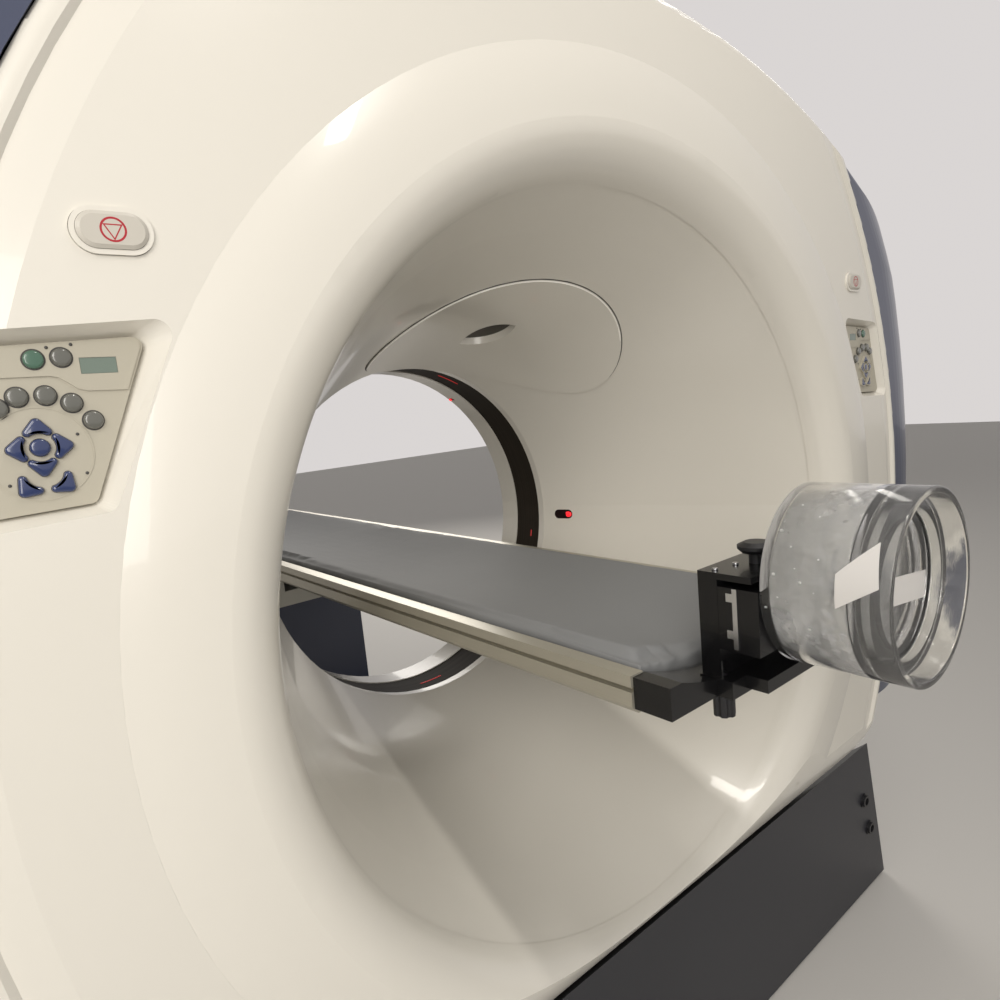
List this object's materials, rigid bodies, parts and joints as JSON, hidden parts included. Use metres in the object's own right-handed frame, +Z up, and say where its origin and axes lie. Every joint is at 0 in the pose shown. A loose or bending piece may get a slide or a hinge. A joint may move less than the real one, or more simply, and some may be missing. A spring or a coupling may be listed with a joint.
{
  "type": "ct_scanner",
  "caption": "Computed tomography scanner: tilting ring gantry on a floor stand, with a sliding, lifting couch through its bore and a round water phantom on a holder.",
  "frame": {"origin": "Centre of the stand underside on the floor, straight below the middle of the scan plane", "axes": "+X across the gantry to the right seen from its front, +Y along the bore towards the couch pedestal, +Z up"},
  "size_m": [2.18, 3.798, 1.8198],
  "materials": {
    "stand_paint": "satin",
    "frame_paint": "satin",
    "steel": "brushed",
    "black_plastic": "matt",
    "cover_white": "satin gloss",
    "cover_blue": "satin gloss",
    "window_brown": "glossy, dark",
    "flare_grey": "satin gloss",
    "indicator_glass": "glossy, dark",
    "laser_glass": "glossy, dark red",
    "panel_beige": "fine grain",
    "display_glass": "glossy",
    "key_grey": "satin",
    "key_blue": "glossy, domed",
    "rotor_aluminium": "machined",
    "tube_housing": "painted",
    "unit_beige": "satin",
    "circuit_green": "coated",
    "unit_grey": "coated",
    "iron": "painted",
    "slip_brass": "turned",
    "belt_rubber": "matt",
    "couch_paint": "satin",
    "carbon": "satin",
    "rail_metal": "anodised, pale",
    "pad_fabric": "coated fabric",
    "holder_black": "black anodised",
    "scale_steel": "etched",
    "acrylic": "clear, polished"
  },
  "bodies": {
    "base": {"base_frame": "stand_paint", "base_front_cover": "stand_paint", "upright_left": "frame_paint", "upright_right": "frame_paint", "tilt_bearings": "steel", "base_sockets": "black_plastic", "couch_base": "frame_paint", "couch_lower_cover": "cover_white"},
    "gantry": {"stator_frame": "frame_paint", "tilt_shafts": "steel", "front_cover": "cover_white", "rear_cover": "cover_white", "side_cover_left": "cover_blue", "side_cover_right": "cover_blue", "scan_window": "window_brown", "flare_insert": "flare_grey", "indicator_window": "indicator_glass", "laser_windows": "laser_glass", "control_plate_left": "panel_beige", "control_plate_right": "panel_beige", "displays": "display_glass", "estop_rims": "panel_beige", "bearing_outer_race": "steel", "brush_block": "black_plastic", "drive_motor": "unit_grey", "drive_belt": "belt_rubber"},
    "rotor": {"bearing_inner_race": "steel", "rotor_frame": "rotor_aluminium", "xray_tube": "tube_housing", "collimator": "steel", "hv_generator": "unit_beige", "detector_array": "circuit_green", "data_unit": "unit_grey", "cooling_unit": "tube_housing", "counterweight": "iron", "slip_ring": "slip_brass"},
    "pulley": {"motor_pulley": "steel"},
    "stop_button_left": {"estop_left": "key_grey"},
    "stop_button_right": {"estop_right": "key_grey"},
    "couch_lift": {"couch_upper_cover": "cover_blue", "lift_rods": "steel", "couch_frame": "couch_paint"},
    "couch_slide": {"couch_top": "carbon", "couch_rails": "rail_metal", "couch_pad": "pad_fabric", "holder_base": "holder_black"},
    "phantom_carriage": {"holder_slide": "holder_black", "holder_scale": "scale_steel", "phantom_body": "acrylic", "phantom_insert": "acrylic"},
    "height_screw": {"height_knob": "black_plastic"},
    "clamp_screw": {"clamp_knob": "black_plastic"},
    "key_centre_cap": {"key_centre": "key_blue"},
    "key_up_cap": {"key_up": "key_blue"},
    "key_down_cap": {"key_down": "key_blue"},
    "key_in_cap": {"key_in": "key_blue"},
    "key_out_cap": {"key_out": "key_blue"},
    "key_home_cap": {"key_home": "key_blue"},
    "key_light_cap": {"key_light": "key_blue"}
  },
  "joints": [
    {"name": "gantry_tilt", "type": "hinge", "parent": "base", "child": "gantry", "pos_m": [0, 0, 1.02], "axis": [1, 0, 0], "range_deg": [-20, 20]},
    {"name": "rotor_spin", "type": "hinge", "parent": "gantry", "child": "rotor", "pos_m": [0, 0.1, 1.02], "axis": [0, 1, 0], "continuous": true},
    {"name": "pulley_spin", "type": "hinge", "parent": "gantry", "child": "pulley", "pos_m": [0.42129, 0.08, 0.3458], "axis": [0, 1, 0], "continuous": true},
    {"name": "stop_press_left", "type": "slide", "parent": "gantry", "child": "stop_button_left", "axis": [0, 1, 0], "range_m": [0, 0.005], "stiffness_N_per_m": 2000, "springref_m": -0.003},
    {"name": "stop_press_right", "type": "slide", "parent": "gantry", "child": "stop_button_right", "axis": [0, 1, 0], "range_m": [0, 0.005], "stiffness_N_per_m": 2000, "springref_m": -0.003},
    {"name": "couch_height", "type": "slide", "parent": "base", "child": "couch_lift", "axis": [0, 0, 1], "range_m": [-0.09, 0.08]},
    {"name": "couch_travel", "type": "slide", "parent": "couch_lift", "child": "couch_slide", "axis": [0, 1, 0], "range_m": [-0.15, 1.25]},
    {"name": "holder_height", "type": "slide", "parent": "couch_slide", "child": "phantom_carriage", "axis": [0, 0, 1], "range_m": [-0.03, 0.006]},
    {"name": "height_screw_turn", "type": "hinge", "parent": "couch_slide", "child": "height_screw", "pos_m": [-0.045, -0.872, 1.02], "axis": [0, 0, 1], "range_deg": [-2200, 450]},
    {"name": "clamp_screw_turn", "type": "hinge", "parent": "couch_slide", "child": "clamp_screw", "pos_m": [-0.104, -0.857, 1.02], "axis": [0, 0, 1], "range_deg": [-360, 360]},
    {"name": "key_centre_press", "type": "slide", "parent": "gantry", "child": "key_centre_cap", "axis": [0, 1, 0], "range_m": [0, 0.0015], "stiffness_N_per_m": 600, "springref_m": -0.001},
    {"name": "key_up_press", "type": "slide", "parent": "gantry", "child": "key_up_cap", "axis": [0, 1, 0], "range_m": [0, 0.0015], "stiffness_N_per_m": 600, "springref_m": -0.001},
    {"name": "key_down_press", "type": "slide", "parent": "gantry", "child": "key_down_cap", "axis": [0, 1, 0], "range_m": [0, 0.0015], "stiffness_N_per_m": 600, "springref_m": -0.001},
    {"name": "key_in_press", "type": "slide", "parent": "gantry", "child": "key_in_cap", "axis": [0, 1, 0], "range_m": [0, 0.0015], "stiffness_N_per_m": 600, "springref_m": -0.001},
    {"name": "key_out_press", "type": "slide", "parent": "gantry", "child": "key_out_cap", "axis": [0, 1, 0], "range_m": [0, 0.0015], "stiffness_N_per_m": 600, "springref_m": -0.001},
    {"name": "key_home_press", "type": "slide", "parent": "gantry", "child": "key_home_cap", "axis": [0, 1, 0], "range_m": [0, 0.0015], "stiffness_N_per_m": 600, "springref_m": -0.001},
    {"name": "key_light_press", "type": "slide", "parent": "gantry", "child": "key_light_cap", "axis": [0, 1, 0], "range_m": [0, 0.0015], "stiffness_N_per_m": 600, "springref_m": -0.001}
  ],
  "couplings": [
    {"joint": "pulley_spin", "follows": "rotor_spin", "ratio": 15.556},
    {"joint": "height_screw_turn", "follows": "holder_height", "rad_per_m": 1256.6}
  ]
}
